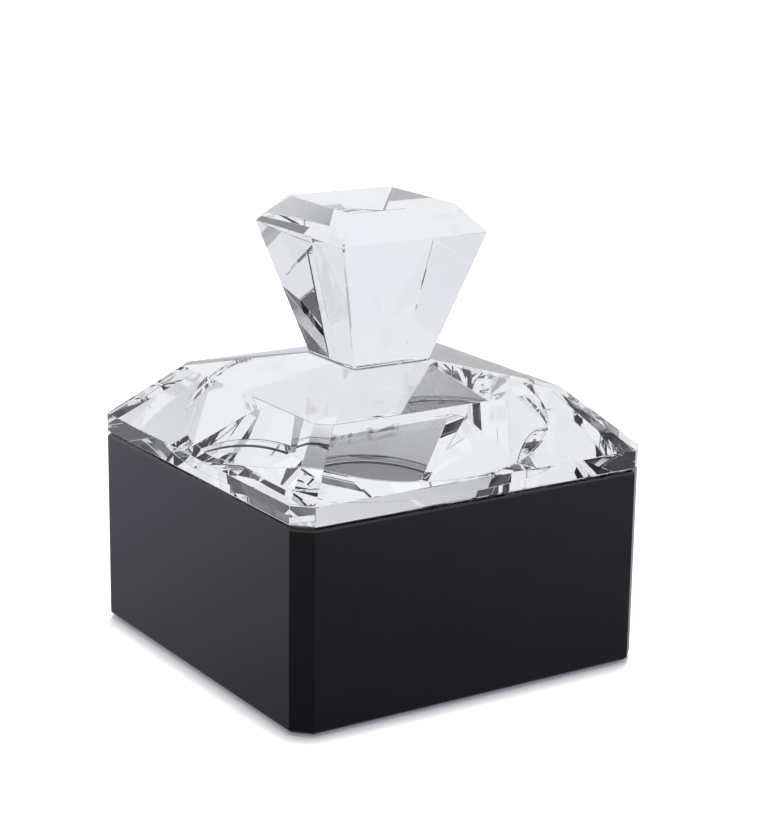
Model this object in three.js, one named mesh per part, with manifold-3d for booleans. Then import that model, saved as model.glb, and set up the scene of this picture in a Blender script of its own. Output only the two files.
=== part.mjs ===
// Crystal trinket box: a black glass base with a bored round well, and a clear
// faceted lid that carries a diamond-cut knob and drops into the well on a round disc.
// Millimetres, +Z up. Origin: centre of the footprint, on the surface it stands on.
// -Y is the front side and -X is the left side.

import * as THREE from 'three';
import { ConvexGeometry } from 'three/addons/geometries/ConvexGeometry.js';
import { mergeVertices } from 'three/addons/utils/BufferGeometryUtils.js';
import Module from 'manifold-3d';

const wasm = await Module();
wasm.setup();

// Foot pads
const padDiameter = 10;
const padThickness = 0.8;
const padInset = 15; // pad centre to the flat sides of the base
const padSoftEdge = 0.3;

// Base block
const baseWidth = 100; // across the flats, both ways
const baseHeight = 49.6;
const baseCornerCut = 4.2; // leg of the 45 degree cut at each upright corner
const baseEdgeBevel = 0.8;

// Round well bored down into the base block
const wellWall = 8; // glass left between the well and each flat side
const wellFloor = 9; // glass left under the well
const wellFillet = 3;
const wellMouthBevel = 0.6;

// Lid plate, from its flat underside up
const seatGap = 0.3; // rim of the base to the underside of the lid
const lidSetback = 0; // flat sides of the lid inside those of the base
const lidEdgeBevel = 0.3;
const girdleHeight = 4.8;
const crownHeight = 13.7;
const crownRun = 14.6; // how far the steep crown reaches in, up to the shoulder
const shoulderCornerCut = 3.3;
const roofHeight = 5.1; // shallow roof, from the shoulder to the knob's seat
const knobSeatMargin = 0.5; // flat left showing round the foot of the knob
const knobSeatCornerCut = 1.2;

// Round disc bonded under the lid, which keeps the lid on the well
const discClearance = 1; // all round, between the disc and the wall of the well
const discThickness = 3;
const discEdgeBevel = 0.5;

// Knob, from its foot up
const knobFootWidth = 22.2;
const knobGirdleWidth = 41.6;
const knobTableWidth = 30.2;
const pavilionHeight = 32.4;
const knobGirdleBand = 0.2;
const knobCrownHeight = 6.5;
const knobCornerCut = 0.4;
const knobFootBevel = 0.3;

// Clear adhesive between bonded faces
const filmThickness = 0.2;
const filmClearance = 0.05; // on each side of a film
const filmInset = 0.6; // film edge inside the edge of the smaller face

const roundSegments = 96;
const padSegments = 32;
const filletSteps = 6;

// Worked-out places
const baseBottom = padThickness;
const rimHeight = baseBottom + baseHeight;
const wellDiameter = baseWidth - 2 * wellWall;
const lidUnderside = rimHeight + seatGap;
const lidWidth = baseWidth - 2 * lidSetback;
const lidCornerCut = baseCornerCut;
const shoulderWidth = lidWidth - 2 * crownRun;
const bondGap = filmThickness + 2 * filmClearance;
const discDiameter = wellDiameter - 2 * discClearance;
const lidHeight = girdleHeight + crownHeight + roofHeight;
const knobSeatWidth = knobFootWidth + 2 * knobSeatMargin;

const blackCrystal = {
  color: 0x0c0d10,
  roughness: 0.05,
  metalness: 0,
};
const clearCrystal = {
  color: 0xf2f5f8,
  roughness: 0.02,
  metalness: 0,
  transparent: true,
  opacity: 0.35,
};
const clearAdhesive = {
  color: 0xe9edf0,
  roughness: 0.1,
  metalness: 0,
  transparent: true,
  opacity: 0.35,
};
const clearSilicone = {
  color: 0xcfd2d4,
  roughness: 0.45,
  metalness: 0,
};

function namedMesh(name, geometry, finish) {
  const mesh = new THREE.Mesh(geometry, new THREE.MeshStandardMaterial(finish));
  mesh.name = name;
  return mesh;
}

// The eight corners of a square with its corners cut at 45 degrees
function cutSquare(width, cut, z) {
  const flat = width / 2;
  const end = flat - cut;
  const corners = [];
  for (const sideX of [-1, 1]) {
    for (const sideY of [-1, 1]) {
      corners.push(new THREE.Vector3(sideX * flat, sideY * end, z));
      corners.push(new THREE.Vector3(sideX * end, sideY * flat, z));
    }
  }
  return corners;
}

// The same outline moved in by an even amount on all eight sides
function insetCutSquare(width, cut, inset, z) {
  const insetCut = cut - (2 - Math.SQRT2) * inset;
  return cutSquare(width - 2 * inset, insetCut, z);
}

// Flat facets stretched over a stack of outlines
function facetedSolid(...outlines) {
  return new ConvexGeometry(outlines.flat());
}

// A round solid turned about Z from half of its section
function turnedSolid(profile, segments) {
  const geometry = new THREE.LatheGeometry(profile, segments);
  geometry.rotateX(Math.PI / 2);
  return geometry;
}

function roundPlate(diameter, thickness, topBevel, bottomBevel, segments) {
  const radius = diameter / 2;
  const profile = [
    new THREE.Vector2(0, 0),
    new THREE.Vector2(radius - bottomBevel, 0),
    new THREE.Vector2(radius, bottomBevel),
    new THREE.Vector2(radius, thickness - topBevel),
    new THREE.Vector2(radius - topBevel, thickness),
    new THREE.Vector2(0, thickness),
  ];
  return turnedSolid(profile, segments);
}

function toManifold(geometry) {
  const bare = geometry.clone();
  bare.deleteAttribute('normal');
  bare.deleteAttribute('uv');
  const merged = mergeVertices(bare);
  const mesh = new wasm.Mesh({
    numProp: 3,
    vertProperties: new Float32Array(merged.attributes.position.array),
    triVerts: new Uint32Array(merged.index.array),
  });
  return new wasm.Manifold(mesh);
}

function toGeometry(manifold) {
  const mesh = manifold.getMesh();
  const geometry = new THREE.BufferGeometry();
  geometry.setAttribute('position', new THREE.BufferAttribute(mesh.vertProperties, 3));
  geometry.setIndex(new THREE.BufferAttribute(mesh.triVerts, 1));
  geometry.computeVertexNormals();
  return geometry;
}

// The space bored out of the base, from the floor of the well to past the rim
function wellSpace() {
  const radius = wellDiameter / 2;
  const profile = [new THREE.Vector2(0, wellFloor)];
  for (let step = 0; step <= filletSteps; step += 1) {
    const angle = (step / filletSteps) * (Math.PI / 2);
    const x = radius - wellFillet + wellFillet * Math.sin(angle);
    const y = wellFloor + wellFillet - wellFillet * Math.cos(angle);
    profile.push(new THREE.Vector2(x, y));
  }
  profile.push(new THREE.Vector2(radius, baseHeight - wellMouthBevel));
  profile.push(new THREE.Vector2(radius + 2 * wellMouthBevel, baseHeight + wellMouthBevel));
  profile.push(new THREE.Vector2(0, baseHeight + wellMouthBevel));
  return turnedSolid(profile, roundSegments);
}

function baseBlock() {
  const block = facetedSolid(
    insetCutSquare(baseWidth, baseCornerCut, baseEdgeBevel, 0),
    cutSquare(baseWidth, baseCornerCut, baseEdgeBevel),
    cutSquare(baseWidth, baseCornerCut, baseHeight - baseEdgeBevel),
    insetCutSquare(baseWidth, baseCornerCut, baseEdgeBevel, baseHeight),
  );
  return toGeometry(toManifold(block).subtract(toManifold(wellSpace())));
}

function lidPlate() {
  const shoulder = girdleHeight + crownHeight;
  return facetedSolid(
    insetCutSquare(lidWidth, lidCornerCut, lidEdgeBevel, 0),
    cutSquare(lidWidth, lidCornerCut, lidEdgeBevel),
    cutSquare(lidWidth, lidCornerCut, girdleHeight),
    cutSquare(shoulderWidth, shoulderCornerCut, shoulder),
    cutSquare(knobSeatWidth, knobSeatCornerCut, lidHeight),
  );
}

function knobSolid() {
  const girdle = pavilionHeight + knobGirdleBand;
  return facetedSolid(
    insetCutSquare(knobFootWidth, knobCornerCut, knobFootBevel, 0),
    cutSquare(knobFootWidth, knobCornerCut, knobFootBevel),
    cutSquare(knobGirdleWidth, knobCornerCut, pavilionHeight),
    cutSquare(knobGirdleWidth, knobCornerCut, girdle),
    cutSquare(knobTableWidth, knobCornerCut, girdle + knobCrownHeight),
  );
}

function knobBondFilm() {
  return facetedSolid(
    insetCutSquare(knobFootWidth, knobCornerCut, filmInset, 0),
    insetCutSquare(knobFootWidth, knobCornerCut, filmInset, filmThickness),
  );
}

function discBondFilm() {
  return roundPlate(discDiameter - 2 * filmInset, filmThickness, 0, 0, roundSegments);
}

function footPads() {
  const pads = new THREE.Group();
  const reach = baseWidth / 2 - padInset;
  for (const [endName, sideY] of [['front', -1], ['back', 1]]) {
    for (const [sideName, sideX] of [['left', -1], ['right', 1]]) {
      const shape = roundPlate(padDiameter, padThickness, 0, padSoftEdge, padSegments);
      const pad = namedMesh(`foot_pad_${endName}_${sideName}`, shape, clearSilicone);
      pad.position.set(sideX * reach, sideY * reach, 0);
      pads.add(pad);
    }
  }
  return pads;
}

// Everything that lifts off together, measured from the underside of the lid plate
function lidAssembly() {
  const lid = new THREE.Group();
  lid.position.z = lidUnderside;
  lid.add(namedMesh('lid_plate', lidPlate(), clearCrystal));

  const discShape = roundPlate(discDiameter, discThickness, 0, discEdgeBevel, roundSegments);
  const disc = namedMesh('locating_disc', discShape, clearCrystal);
  disc.position.z = -bondGap - discThickness;
  lid.add(disc);

  const discFilm = namedMesh('disc_bond_film', discBondFilm(), clearAdhesive);
  discFilm.position.z = filmClearance - bondGap;
  lid.add(discFilm);

  const knobFilm = namedMesh('knob_bond_film', knobBondFilm(), clearAdhesive);
  knobFilm.position.z = lidHeight + filmClearance;
  lid.add(knobFilm);

  const knob = namedMesh('knob', knobSolid(), clearCrystal);
  knob.position.z = lidHeight + bondGap;
  lid.add(knob);
  return lid;
}

const trinketBox = new THREE.Group();
const base = namedMesh('base_block', baseBlock(), blackCrystal);
base.position.z = baseBottom;
trinketBox.add(base, footPads(), lidAssembly());

export default trinketBox;
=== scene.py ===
import math

import bmesh
import bpy
from mathutils import Matrix, Vector


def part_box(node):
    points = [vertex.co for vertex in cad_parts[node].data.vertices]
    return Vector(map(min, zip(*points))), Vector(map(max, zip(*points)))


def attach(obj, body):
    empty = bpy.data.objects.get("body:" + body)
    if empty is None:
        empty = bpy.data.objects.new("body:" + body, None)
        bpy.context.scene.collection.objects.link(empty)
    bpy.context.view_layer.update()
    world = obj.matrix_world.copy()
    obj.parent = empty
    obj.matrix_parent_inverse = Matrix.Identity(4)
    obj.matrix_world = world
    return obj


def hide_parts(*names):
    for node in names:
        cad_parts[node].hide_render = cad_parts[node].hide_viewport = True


mm = 0.001

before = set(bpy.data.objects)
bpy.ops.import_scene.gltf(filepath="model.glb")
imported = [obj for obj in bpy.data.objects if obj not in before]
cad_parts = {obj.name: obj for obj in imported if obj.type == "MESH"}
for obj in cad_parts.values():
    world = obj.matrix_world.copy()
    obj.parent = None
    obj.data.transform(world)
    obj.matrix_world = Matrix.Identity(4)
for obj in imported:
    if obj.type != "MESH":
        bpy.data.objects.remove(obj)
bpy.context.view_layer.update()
print("frame loaded:", ", ".join(sorted(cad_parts)))



def hexColour(text):
    # sRGB hex to the linear colour the shaders want
    parts = [int(text[i : i + 2], 16) / 255 for i in (1, 3, 5)]
    linear = [c / 12.92 if c <= 0.04045 else ((c + 0.055) / 1.055) ** 2.4 for c in parts]
    return (*linear, 1.0)


def addNode(tree, kind, sockets=None, **settings):
    # sockets holds values, or another node's output to link
    node = tree.nodes.new(kind)
    for name, value in settings.items():
        setattr(node, name, value)
    for name, value in (sockets or {}).items():
        if isinstance(value, bpy.types.NodeSocket):
            tree.links.new(value, node.inputs[name])
        else:
            node.inputs[name].default_value = value
    return node


def newMaterial(name):
    material = bpy.data.materials.new(name)
    material.use_nodes = True
    tree = material.node_tree
    tree.nodes.clear()
    return material, tree


def cutSquareRing(width, cut, height, inset=0.0):
    # a square outline with its corners cut, moved in by inset on all eight sides
    half = width / 2 - inset
    edge = half - (cut - (2 - math.sqrt(2)) * inset)
    outline = (
        (-edge, -half),
        (edge, -half),
        (half, -edge),
        (half, edge),
        (edge, half),
        (-edge, half),
        (-half, edge),
        (-half, -edge),
    )
    return [Vector((x, y, height)) for x, y in outline]


def roundRing(radius, height, segments, centre=(0.0, 0.0)):
    turns = [2 * math.pi * i / segments for i in range(segments)]
    return [
        Vector((centre[0] + radius * math.cos(t), centre[1] + radius * math.sin(t), height))
        for t in turns
    ]


def stackRings(bm, rings):
    # walls from one ring of points to the next, outward faces when the rings climb
    loops = [[bm.verts.new(point) for point in ring] for ring in rings]
    for lower, upper in zip(loops, loops[1:]):
        for i in range(len(lower)):
            j = (i + 1) % len(lower)
            bm.faces.new((lower[i], lower[j], upper[j], upper[i]))
    return loops


def flatBetween(bm, outer, inner):
    # flat triangles between two outlines round the middle, taking the shorter step each time
    def turnOf(vert):
        return math.atan2(vert.co.y, vert.co.x)

    outer, inner = sorted(outer, key=turnOf), sorted(inner, key=turnOf)
    start = min(range(len(inner)), key=lambda k: (inner[k].co - outer[0].co).length)
    outer, inner = outer + outer[:1], inner[start:] + inner[: start + 1]
    i = j = 0
    while i + 1 < len(outer) or j + 1 < len(inner):
        alongOuter = alongInner = math.inf
        if i + 1 < len(outer):
            alongOuter = (outer[i + 1].co - inner[j].co).length
        if j + 1 < len(inner):
            alongInner = (inner[j + 1].co - outer[i].co).length
        if alongOuter < alongInner:
            bm.faces.new((outer[i], outer[i + 1], inner[j]))
            i += 1
        else:
            bm.faces.new((outer[i], inner[j + 1], inner[j]))
            j += 1


def fanCap(bm, loop):
    middle = bm.verts.new(sum((v.co for v in loop), Vector()) / len(loop))
    count = len(loop)
    return [bm.faces.new((loop[i], loop[(i + 1) % count], middle)) for i in range(count)]


def easeArrises(bm, width, segments, keepClear):
    # a polisher's fine flat along each facet edge; keepClear says which edges stay as cut
    bm.normal_update()
    edges = [
        e
        for e in bm.edges
        if len(e.link_faces) == 2 and e.calc_face_angle() > math.radians(2.5) and not keepClear(e)
    ]
    bmesh.ops.bevel(
        bm,
        geom=edges,
        offset=width,
        offset_type="OFFSET",
        segments=segments,
        profile=0.5,
        affect="EDGES",
        clamp_overlap=True,
    )


def finishPiece(bm, name, materials, body, node, smoothAngle=None):
    bmesh.ops.recalc_face_normals(bm, faces=bm.faces)
    mesh = bpy.data.meshes.new(name)
    bm.to_mesh(mesh)
    bm.free()
    for material in materials:
        mesh.materials.append(material)
    if smoothAngle is not None:
        mesh.polygons.foreach_set("use_smooth", [True] * len(mesh.polygons))
        mesh.set_sharp_from_angle(angle=math.radians(smoothAngle))
    piece = bpy.data.objects.new(name, mesh)
    bpy.context.scene.collection.objects.link(piece)
    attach(piece, body)
    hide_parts(node)
    return piece



def polishedBlackCrystal():
    # black optical crystal, lapped flat and polished: deep black under a clean, even mirror,
    # with the faint unevenness a felt wheel leaves
    look = {
        "body": "#050506",
        "bodyHaze": "#0a0a0c",
        "ior": 1.52,
        "roughness": (0.028, 0.055),
        "lapWave": 9.0,  # mm between the swells left by lapping
        "polishGrain": 0.6,  # mm
        "waveHeight": 0.0006,  # mm
    }
    material, tree = newMaterial("black_crystal_lapped_and_polished")
    place = addNode(tree, "ShaderNodeTexCoord")
    swell = addNode(
        tree,
        "ShaderNodeTexNoise",
        {"Vector": place.outputs["Object"], "Scale": 1000 / look["lapWave"], "Detail": 2.0},
    )
    grain = addNode(
        tree,
        "ShaderNodeTexNoise",
        {"Vector": place.outputs["Object"], "Scale": 1000 / look["polishGrain"], "Detail": 3.0},
    )
    depth = addNode(
        tree,
        "ShaderNodeMix",
        {0: swell.outputs["Fac"], 6: hexColour(look["body"]), 7: hexColour(look["bodyHaze"])},
        data_type="RGBA",
    )
    low, high = look["roughness"]
    polish = addNode(
        tree,
        "ShaderNodeMapRange",
        {"Value": grain.outputs["Fac"], "From Min": 0.3, "From Max": 0.7, "To Min": low, "To Max": high},
    )
    wave = addNode(
        tree,
        "ShaderNodeBump",
        {"Height": swell.outputs["Fac"], "Distance": look["waveHeight"] * mm, "Strength": 1.0},
    )
    surface = addNode(
        tree,
        "ShaderNodeBsdfPrincipled",
        {
            "Base Color": depth.outputs[2],
            "Roughness": polish.outputs["Result"],
            "Normal": wave.outputs["Normal"],
            "IOR": look["ior"],
        },
    )
    addNode(tree, "ShaderNodeOutputMaterial", {"Surface": surface.outputs[0]})
    return material


def polishedClearCrystal():
    # clear optical crystal, cut and polished: colourless, bends and mirrors what is around it,
    # with the barely cooler streaks of the poured glass
    look = {
        "clearTint": "#fdfdff",
        "streakTint": "#f8faff",
        "ior": 1.52,
        "roughness": 0.0,
        "streakSpacing": 26.0,  # mm
    }
    material, tree = newMaterial("clear_crystal_cut_and_polished")
    place = addNode(tree, "ShaderNodeTexCoord")
    streak = addNode(
        tree,
        "ShaderNodeTexNoise",
        {"Vector": place.outputs["Object"], "Scale": 1000 / look["streakSpacing"], "Detail": 2.0},
    )
    tint = addNode(
        tree,
        "ShaderNodeMix",
        {0: streak.outputs["Fac"], 6: hexColour(look["clearTint"]), 7: hexColour(look["streakTint"])},
        data_type="RGBA",
    )
    surface = addNode(
        tree,
        "ShaderNodeBsdfPrincipled",
        {
            "Base Color": tint.outputs[2],
            "Transmission Weight": 1.0,
            "Roughness": look["roughness"],
            "IOR": look["ior"],
        },
    )
    addNode(tree, "ShaderNodeOutputMaterial", {"Surface": surface.outputs[0]})
    return material


def bondedCrystalFace():
    # a crystal face under optical cement: the cement matches the crystal, so the face vanishes
    material, tree = newMaterial("crystal_face_in_optical_cement")
    surface = addNode(tree, "ShaderNodeBsdfTransparent", {"Color": (1.0, 1.0, 1.0, 1.0)})
    addNode(tree, "ShaderNodeOutputMaterial", {"Surface": surface.outputs[0]})
    return material


def curedCementEdge():
    # clear cement cured by ultraviolet light, wiped along the joint: a soft glossy line
    look = {"tint": "#e9edf2", "ior": 1.5, "roughness": 0.12, "wipeMarks": 0.8}
    material, tree = newMaterial("optical_cement_cured_and_wiped")
    place = addNode(tree, "ShaderNodeTexCoord")
    wipe = addNode(
        tree,
        "ShaderNodeTexNoise",
        {"Vector": place.outputs["Object"], "Scale": 1000 / look["wipeMarks"], "Detail": 2.0},
    )
    uneven = addNode(
        tree,
        "ShaderNodeBump",
        {"Height": wipe.outputs["Fac"], "Distance": 0.03 * mm, "Strength": 0.6},
    )
    surface = addNode(
        tree,
        "ShaderNodeBsdfPrincipled",
        {
            "Base Color": hexColour(look["tint"]),
            "Transmission Weight": 1.0,
            "Roughness": look["roughness"],
            "IOR": look["ior"],
            "Normal": uneven.outputs["Normal"],
        },
    )
    addNode(tree, "ShaderNodeOutputMaterial", {"Surface": surface.outputs[0]})
    return material


def mouldedSilicone():
    # clear silicone bumpers, cast in a sheet mould: milky, slightly tacky sheen, fine orange peel
    look = {"clear": "#d9dcdf", "milky": "#c6cacf", "ior": 1.41, "roughness": (0.38, 0.55), "peel": 0.35}
    material, tree = newMaterial("clear_silicone_cast_smooth")
    place = addNode(tree, "ShaderNodeTexCoord")
    peel = addNode(
        tree,
        "ShaderNodeTexNoise",
        {"Vector": place.outputs["Object"], "Scale": 1000 / look["peel"], "Detail": 3.0},
    )
    cloud = addNode(
        tree,
        "ShaderNodeTexNoise",
        {"Vector": place.outputs["Object"], "Scale": 1000 / 3.0, "Detail": 2.0},
    )
    milk = addNode(
        tree,
        "ShaderNodeMix",
        {0: cloud.outputs["Fac"], 6: hexColour(look["clear"]), 7: hexColour(look["milky"])},
        data_type="RGBA",
    )
    sheen = addNode(
        tree,
        "ShaderNodeMapRange",
        {"Value": peel.outputs["Fac"], "To Min": look["roughness"][0], "To Max": look["roughness"][1]},
    )
    skin = addNode(
        tree,
        "ShaderNodeBump",
        {"Height": peel.outputs["Fac"], "Distance": 0.02 * mm, "Strength": 0.5},
    )
    surface = addNode(
        tree,
        "ShaderNodeBsdfPrincipled",
        {
            "Base Color": milk.outputs[2],
            "Roughness": sheen.outputs["Result"],
            "Normal": skin.outputs["Normal"],
            "IOR": look["ior"],
            "Subsurface Weight": 0.35,
            "Subsurface Scale": 1.5 * mm,
        },
    )
    addNode(tree, "ShaderNodeOutputMaterial", {"Surface": surface.outputs[0]})
    return material


blackCrystal = polishedBlackCrystal()
clearCrystal = polishedClearCrystal()
bondedFace = bondedCrystalFace()
cementEdge = curedCementEdge()
silicone = mouldedSilicone()
print("materials made")


baseLow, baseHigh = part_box("base_block")
discLow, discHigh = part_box("locating_disc")

baseShape = {
    "cornerCut": 4.2 * mm,  # taken off each corner, along both sides
    "edgeBevel": 0.8 * mm,  # round the top and the bottom
    "arris": 0.12 * mm,
    "wellDiameter": 84.0 * mm,
    "wellFloor": 9.0 * mm,
    "wellFillet": 3.0 * mm,
    "mouthBevel": 0.6 * mm,
    "wellSegments": 256,
    "filletSteps": 10,
}


def buildBase(shape):
    width = baseHigh.x - baseLow.x
    cut, bevel, segments = shape["cornerCut"], shape["edgeBevel"], shape["wellSegments"]
    bm = bmesh.new()
    outside = stackRings(
        bm,
        [
            cutSquareRing(width, cut, baseLow.z, bevel),
            cutSquareRing(width, cut, baseLow.z + bevel),
            cutSquareRing(width, cut, baseHigh.z - bevel),
            cutSquareRing(width, cut, baseHigh.z, bevel),
        ],
    )
    bm.faces.new(reversed(outside[0]))
    radius, fillet, mouth = shape["wellDiameter"] / 2, shape["wellFillet"], shape["mouthBevel"]
    floorHeight = baseLow.z + shape["wellFloor"]
    profile = [(radius - fillet, floorHeight)]
    for step in range(1, shape["filletSteps"] + 1):
        turn = math.pi / 2 * step / shape["filletSteps"]
        profile.append(
            (radius - fillet + fillet * math.sin(turn), floorHeight + fillet * (1 - math.cos(turn)))
        )
    profile += [(radius, baseHigh.z - mouth), (radius + mouth, baseHigh.z)]
    well = stackRings(bm, [roundRing(r, z, segments) for r, z in profile])
    fanCap(bm, well[0])
    flatBetween(bm, outside[-1], well[-1])
    bmesh.ops.recalc_face_normals(bm, faces=bm.faces)
    reach = width / 2 * 0.9
    easeArrises(
        bm,
        shape["arris"],
        2,
        lambda e: all(max(abs(v.co.x), abs(v.co.y)) < reach for v in e.verts),
    )
    return finishPiece(
        bm, "polished_black_base", [blackCrystal], "base", "base_block", smoothAngle=12
    )


buildBase(baseShape)
print("base cut, with its round well")


lidLow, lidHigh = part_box("lid_plate")
filmLow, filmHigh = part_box("knob_bond_film")

lidShape = {
    "cornerCut": 4.2 * mm,
    "underBevel": 0.3 * mm,
    "girdleHeight": 4.8 * mm,
    "crownHeight": 13.7 * mm,
    "shoulderWidth": 70.8 * mm,
    "shoulderCut": 3.3 * mm,
    "seatWidth": 23.2 * mm,
    "seatCut": 1.2 * mm,
    "arris": 0.07 * mm,
    "bondedWidth": 21.6 * mm,
    "bondedCut": 0.7 * mm,
    "discSegments": 256,
}


def buildLid(shape):
    width = lidHigh.x - lidLow.x
    cut, bevel = shape["cornerCut"], shape["underBevel"]
    girdle = lidLow.z + shape["girdleHeight"]
    shoulder = girdle + shape["crownHeight"]
    bm = bmesh.new()
    stackRings(
        bm,
        [
            cutSquareRing(width, cut, lidLow.z, bevel),
            cutSquareRing(width, cut, lidLow.z + bevel),
            cutSquareRing(width, cut, girdle),
            cutSquareRing(shape["shoulderWidth"], shape["shoulderCut"], shoulder),
            cutSquareRing(shape["seatWidth"], shape["seatCut"], lidHigh.z),
        ],
    )
    easeArrises(bm, shape["arris"], 1, lambda e: False)
    # the easing renews the open outlines below and above, so they are found by height
    under = roundRing((discHigh.x - discLow.x) / 2, lidLow.z, shape["discSegments"])
    seat = cutSquareRing(shape["bondedWidth"], shape["bondedCut"], lidHigh.z)
    for bonded in (under, seat):
        height = bonded[0].z
        rim = {v for e in bm.edges if e.is_boundary for v in e.verts if abs(v.co.z - height) < 0.01 * mm}
        inner = [bm.verts.new(point) for point in bonded]
        flatBetween(bm, rim, inner)
        bm.faces.new(inner).material_index = 1
    return finishPiece(
        bm, "crystal_lid_plate", [clearCrystal, bondedFace], "lid", "lid_plate"
    )


buildLid(lidShape)
print("lid plate cut and polished")

discShape = {"edgeBevel": 0.5 * mm, "segments": 256}


def buildDisc(shape):
    radius, bevel = (discHigh.x - discLow.x) / 2, shape["edgeBevel"]
    bm = bmesh.new()
    rings = stackRings(
        bm,
        [
            roundRing(radius - bevel, discLow.z, shape["segments"]),
            roundRing(radius, discLow.z + bevel, shape["segments"]),
            roundRing(radius, discHigh.z, shape["segments"]),
        ],
    )
    bm.faces.new(reversed(rings[0]))
    bm.faces.new(rings[-1]).material_index = 1
    return finishPiece(
        bm,
        "crystal_locating_disc",
        [clearCrystal, bondedFace],
        "lid_seat",
        "locating_disc",
        smoothAngle=20,
    )


buildDisc(discShape)
print("locating disc turned")


knobLow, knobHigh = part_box("knob")

knobShape = {
    "footWidth": 22.2 * mm,
    "footBevel": 0.3 * mm,
    "pavilionHeight": 32.4 * mm,
    "girdleBand": 0.2 * mm,
    "tableWidth": 30.2 * mm,
    "cornerCut": 0.4 * mm,
    "arris": 0.06 * mm,
}


def buildKnob(shape):
    width, cut, bevel = knobHigh.x - knobLow.x, shape["cornerCut"], shape["footBevel"]
    girdle = knobLow.z + shape["pavilionHeight"]
    bm = bmesh.new()
    rings = stackRings(
        bm,
        [
            cutSquareRing(shape["footWidth"], cut, knobLow.z, bevel),
            cutSquareRing(shape["footWidth"], cut, knobLow.z + bevel),
            cutSquareRing(width, cut, girdle),
            cutSquareRing(width, cut, girdle + shape["girdleBand"]),
            cutSquareRing(shape["tableWidth"], cut, knobHigh.z),
        ],
    )
    bm.faces.new(rings[-1])
    bm.faces.new(reversed(rings[0])).material_index = 1
    footTop = knobLow.z + bevel * 1.5
    easeArrises(bm, shape["arris"], 1, lambda e: max(v.co.z for v in e.verts) < footTop)
    return finishPiece(bm, "crystal_knob", [clearCrystal, bondedFace], "lid", "knob")


buildKnob(knobShape)
print("knob cut and polished")


discFilmLow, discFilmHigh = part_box("disc_bond_film")

filmShape = {
    "squeeze": 0.04 * mm,  # how far the cured edge stands out at mid height
    "cornerCut": 0.7 * mm,
    "segments": 128,
}


def buildKnobFilm(shape):
    width, cut = filmHigh.x - filmLow.x, shape["cornerCut"]
    middle = (filmLow.z + filmHigh.z) / 2
    bm = bmesh.new()
    rings = stackRings(
        bm,
        [
            cutSquareRing(width, cut, filmLow.z, shape["squeeze"]),
            cutSquareRing(width, cut, middle),
            cutSquareRing(width, cut, filmHigh.z, shape["squeeze"]),
        ],
    )
    bm.faces.new(reversed(rings[0])).material_index = 1
    bm.faces.new(rings[-1]).material_index = 1
    return finishPiece(
        bm, "knob_cement_film", [cementEdge, bondedFace], "lid", "knob_bond_film"
    )


def buildDiscFilm(shape):
    radius = (discFilmHigh.x - discFilmLow.x) / 2
    middle = (discFilmLow.z + discFilmHigh.z) / 2
    bm = bmesh.new()
    rings = stackRings(
        bm,
        [
            roundRing(radius - shape["squeeze"], discFilmLow.z, shape["segments"]),
            roundRing(radius, middle, shape["segments"]),
            roundRing(radius - shape["squeeze"], discFilmHigh.z, shape["segments"]),
        ],
    )
    bm.faces.new(reversed(rings[0])).material_index = 1
    bm.faces.new(rings[-1]).material_index = 1
    return finishPiece(
        bm,
        "disc_cement_film",
        [cementEdge, bondedFace],
        "lid_seat",
        "disc_bond_film",
        smoothAngle=60,
    )


buildKnobFilm(filmShape)
buildDiscFilm(filmShape)
print("cement films laid")


padShape = {
    "softEdge": 0.3 * mm,
    "segments": 64,
    "edgeSteps": 4,
    "dimple": 0.05 * mm,  # how far the underside is hollowed
    "dimpleStart": 0.6 * mm,  # in from the rim
    "dimpleRim": 0.42 * mm,
}


def buildPad(corner, shape):
    low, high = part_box("foot_pad_" + corner)
    centre = ((low.x + high.x) / 2, (low.y + high.y) / 2)
    radius, soft = (high.x - low.x) / 2, shape["softEdge"]
    profile = [
        (radius - shape["dimpleStart"], low.z + shape["dimple"]),
        (radius - shape["dimpleRim"], low.z),
    ]
    for step in range(shape["edgeSteps"] + 1):
        turn = math.pi / 2 * step / shape["edgeSteps"]
        profile.append((radius - soft + soft * math.sin(turn), low.z + soft * (1 - math.cos(turn))))
    profile.append((radius, high.z))
    bm = bmesh.new()
    rings = stackRings(bm, [roundRing(r, z, shape["segments"], centre) for r, z in profile])
    fanCap(bm, rings[0])
    fanCap(bm, rings[-1])
    return finishPiece(
        bm,
        "silicone_bumper_" + corner,
        [silicone],
        "base",
        "foot_pad_" + corner,
        smoothAngle=35,
    )


for corner in ("front_left", "front_right", "back_left", "back_right"):
    buildPad(corner, padShape)
print("bumper feet placed")


cameraView = {
    "azimuth": -33.13,
    "elevation": 14.96,
    "roll": 0.80,
    "distance": 553.79 * mm,
    "sideways": 3.16 * mm,
    "height": 60.2 * mm,
    "lens": 96.73,
}

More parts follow.
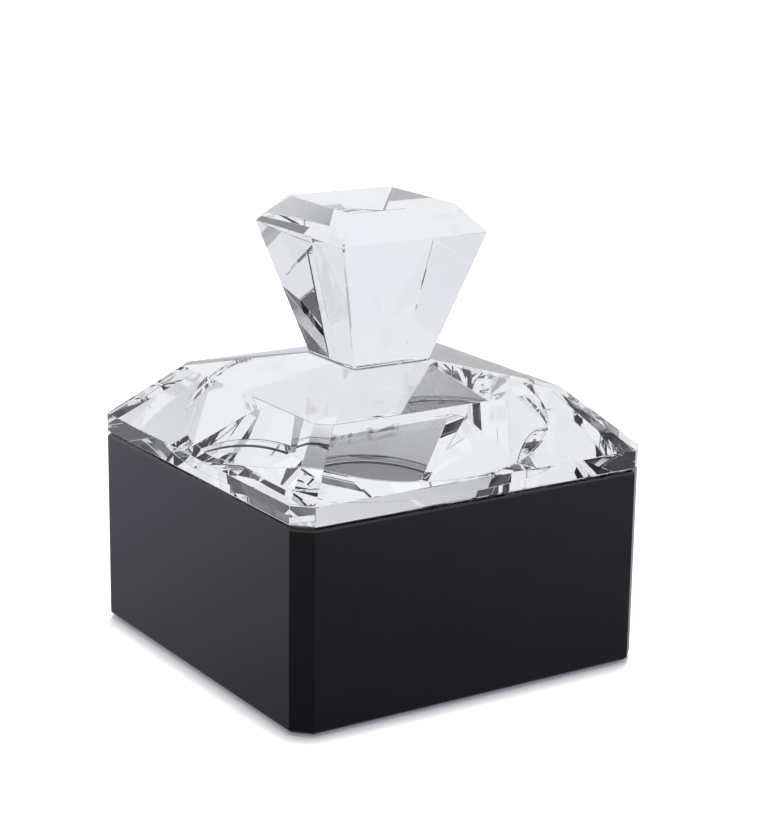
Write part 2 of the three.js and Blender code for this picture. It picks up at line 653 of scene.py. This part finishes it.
studio = {
    "floorSize": 3.0,
    "floorTone": "#f4f4f4",
    "floorGlow": 0.14,
    "floorGlowTone": "#e6e9ff",
    "tentGlow": 0.90,  # brightness of the light tent all round
    "tentTone": "#fcfdff",
    "paperWhite": 1.1,  # what the lens sees of the tent
    # dark gaps between the panels: azimuth, elevation and half width in degrees, and glow
    "gaps": (
        (-114.0, 23.0, 10.0, 0.17),
        (-91.0, 37.0, 9.0, 0.15),
        (-28.0, 34.0, 6.0, 0.50),
    ),
    "gapEdge": 0.25,  # how soft a gap's edge is, as a share of its half width
    "overheadGlow": 1.1,  # the top of the tent against its sides
    "overheadRise": (0.68, 0.82),  # ray heights between which it brightens
    # the table, as mirrors see it: its glow, the gain towards the left rear, the loss towards
    # the left front, and how fast it falls as the ray gets steeper than the steady height
    "tableTone": "#ebedfc",
    "tableGlow": 0.50,
    "tableTilt": 0.10,
    "frontShade": 0.26,
    "tableFall": 6.5,
    "steadyHeight": -0.319,
    "fallLimits": (0.3, 1.9),
    "tableEdge": (-0.06, -0.16),  # ray heights between which the tent gives way to the table
    "frontAxis": (-0.84, -0.54, 0.0),
    "rearAxis": (-0.52, 0.85, 0.0),
    # the overhead bank behind the box, which leaves a short soft shadow round its foot
    "bankTurn": 138.0,
    "bankTilt": 85.6,
    "bankSpread": 6.5,
    "bankPower": 2.5,
}


def viewAxes(view):
    turn, tilt = math.radians(view["azimuth"]), math.radians(view["elevation"])
    back = Vector(
        (math.sin(turn) * math.cos(tilt), -math.cos(turn) * math.cos(tilt), math.sin(tilt))
    )
    right = Vector((math.cos(turn), math.sin(turn), 0.0))
    return back, right, back.cross(right)


def placeCamera(view):
    back, right, up = viewAxes(view)
    roll = math.radians(view["roll"])
    place = right * view["sideways"] + Vector((0, 0, view["height"])) + back * view["distance"]
    sideAxis = right * math.cos(roll) + up * math.sin(roll)
    upAxis = up * math.cos(roll) - right * math.sin(roll)
    lens = bpy.data.cameras.new("studio_camera")
    lens.sensor_width = 36
    lens.lens = view["lens"]
    lens.clip_start = 0.01
    camera = bpy.data.objects.new("studio_camera", lens)
    bpy.context.scene.collection.objects.link(camera)
    columns = (sideAxis, upAxis, back, place)
    camera.matrix_world = Matrix([[c[i] for c in columns] for i in range(3)] + [[0, 0, 0, 1]])
    bpy.context.scene.camera = camera


def buildFloor(look):
    half = look["floorSize"] / 2
    bm = bmesh.new()
    bmesh.ops.create_grid(bm, x_segments=8, y_segments=8, size=half)
    mesh = bpy.data.meshes.new("paper_sweep")
    bm.to_mesh(mesh)
    bm.free()
    floor = bpy.data.objects.new("paper_sweep", mesh)
    bpy.context.scene.collection.objects.link(floor)
    material, tree = newMaterial("white_paper_matt")
    surface = addNode(
        tree,
        "ShaderNodeBsdfPrincipled",
        {
            "Base Color": hexColour(look["floorTone"]),
            "Roughness": 0.9,
            "Specular IOR Level": 0.2,
            "Emission Color": hexColour(look["floorGlowTone"]),
            "Emission Strength": look["floorGlow"],
        },
    )
    addNode(tree, "ShaderNodeOutputMaterial", {"Surface": surface.outputs[0]})
    mesh.materials.append(material)
    floor.visible_glossy = False  # the crystal mirrors and bends the dimmer tent, not the bright paper
    floor.visible_transmission = False


def lightRoom(look):
    world = bpy.data.worlds.new("light_tent")
    bpy.context.scene.world = world
    world.use_nodes = True
    tree = world.node_tree
    tree.nodes.clear()
    ray = addNode(tree, "ShaderNodeTexCoord").outputs["Generated"]

    def calc(operation, *values):
        return addNode(tree, "ShaderNodeMath", dict(enumerate(values)), operation=operation).outputs[0]

    def along(axis):
        node = addNode(tree, "ShaderNodeVectorMath", {0: ray, 1: axis}, operation="DOT_PRODUCT")
        return node.outputs["Value"]

    height = along((0.0, 0.0, 1.0))
    overhead = addNode(
        tree,
        "ShaderNodeMapRange",
        {
            "Value": height,
            "From Min": look["overheadRise"][0],
            "From Max": look["overheadRise"][1],
            "To Min": look["tentGlow"],
            "To Max": look["tentGlow"] * look["overheadGlow"],
        },
        interpolation_type="SMOOTHSTEP",
    )
    tent = overhead.outputs["Result"]
    for azimuth, elevation, width, glow in look["gaps"]:
        turn, tilt = math.radians(azimuth), math.radians(elevation)
        axis = (math.sin(turn) * math.cos(tilt), -math.cos(turn) * math.cos(tilt), math.sin(tilt))
        gap = addNode(
            tree,
            "ShaderNodeMapRange",
            {
                "Value": along(axis),
                "From Min": math.cos(math.radians(width * (1 + look["gapEdge"]))),
                "From Max": math.cos(math.radians(width * (1 - look["gapEdge"]))),
                "To Min": 1.0,
                "To Max": glow / look["tentGlow"],
            },
            interpolation_type="SMOOTHSTEP",
        )
        tent = calc("MULTIPLY", tent, gap.outputs["Result"])

    table = calc("MULTIPLY_ADD", along(look["rearAxis"]), look["tableTilt"], look["tableGlow"])
    front = calc("MULTIPLY", calc("MAXIMUM", along(look["frontAxis"]), 0.0), look["frontShade"])
    table = calc("SUBTRACT", table, front)
    fall = calc("MULTIPLY_ADD", height, look["tableFall"], 1.0 - look["steadyHeight"] * look["tableFall"])
    lowest, highest = look["fallLimits"]
    fall = calc("MINIMUM", calc("MAXIMUM", fall, lowest), highest)
    table = calc("MULTIPLY", table, fall)

    path = addNode(tree, "ShaderNodeLightPath")
    mirrored = calc("SUBTRACT", path.outputs["Is Glossy Ray"], path.outputs["Is Transmission Ray"])
    sunk = addNode(
        tree,
        "ShaderNodeMapRange",
        {"Value": height, "From Min": look["tableEdge"][0], "From Max": look["tableEdge"][1]},
        interpolation_type="SMOOTHSTEP",
    )
    below = calc("MULTIPLY", mirrored, sunk.outputs["Result"])
    glow = addNode(tree, "ShaderNodeMix", {0: below, 2: tent, 3: table}, data_type="FLOAT")
    tone = addNode(
        tree,
        "ShaderNodeMix",
        {0: below, 6: hexColour(look["tentTone"]), 7: hexColour(look["tableTone"])},
        data_type="RGBA",
    )
    room = addNode(
        tree, "ShaderNodeBackground", {"Color": tone.outputs[2], "Strength": glow.outputs[0]}
    )
    paper = addNode(
        tree, "ShaderNodeBackground", {"Color": hexColour("#ffffff"), "Strength": look["paperWhite"]}
    )
    seen = addNode(
        tree,
        "ShaderNodeMixShader",
        {0: path.outputs["Is Camera Ray"], 1: room.outputs[0], 2: paper.outputs[0]},
    )
    addNode(tree, "ShaderNodeOutputWorld", {"Surface": seen.outputs[0]})


def hangBank(look):
    turn, tilt = math.radians(look["bankTurn"]), math.radians(look["bankTilt"])
    away = Vector((math.sin(turn) * math.cos(tilt), -math.cos(turn) * math.cos(tilt), math.sin(tilt)))
    lamp = bpy.data.lights.new("overhead_bank", "SUN")
    lamp.energy = look["bankPower"]
    lamp.angle = math.radians(look["bankSpread"])
    bank = bpy.data.objects.new("overhead_bank", lamp)
    bpy.context.scene.collection.objects.link(bank)
    bank.rotation_euler = away.to_track_quat("Z", "Y").to_euler()
    bank.visible_glossy = False
    bank.visible_transmission = False


placeCamera(cameraView)
buildFloor(studio)
lightRoom(studio)
hangBank(studio)

scene = bpy.context.scene
scene.view_settings.view_transform = "Standard"
scene.cycles.max_bounces = 24
scene.cycles.transmission_bounces = 24
scene.cycles.glossy_bounces = 12
scene.cycles.transparent_max_bounces = 64
print("studio lit and camera placed")
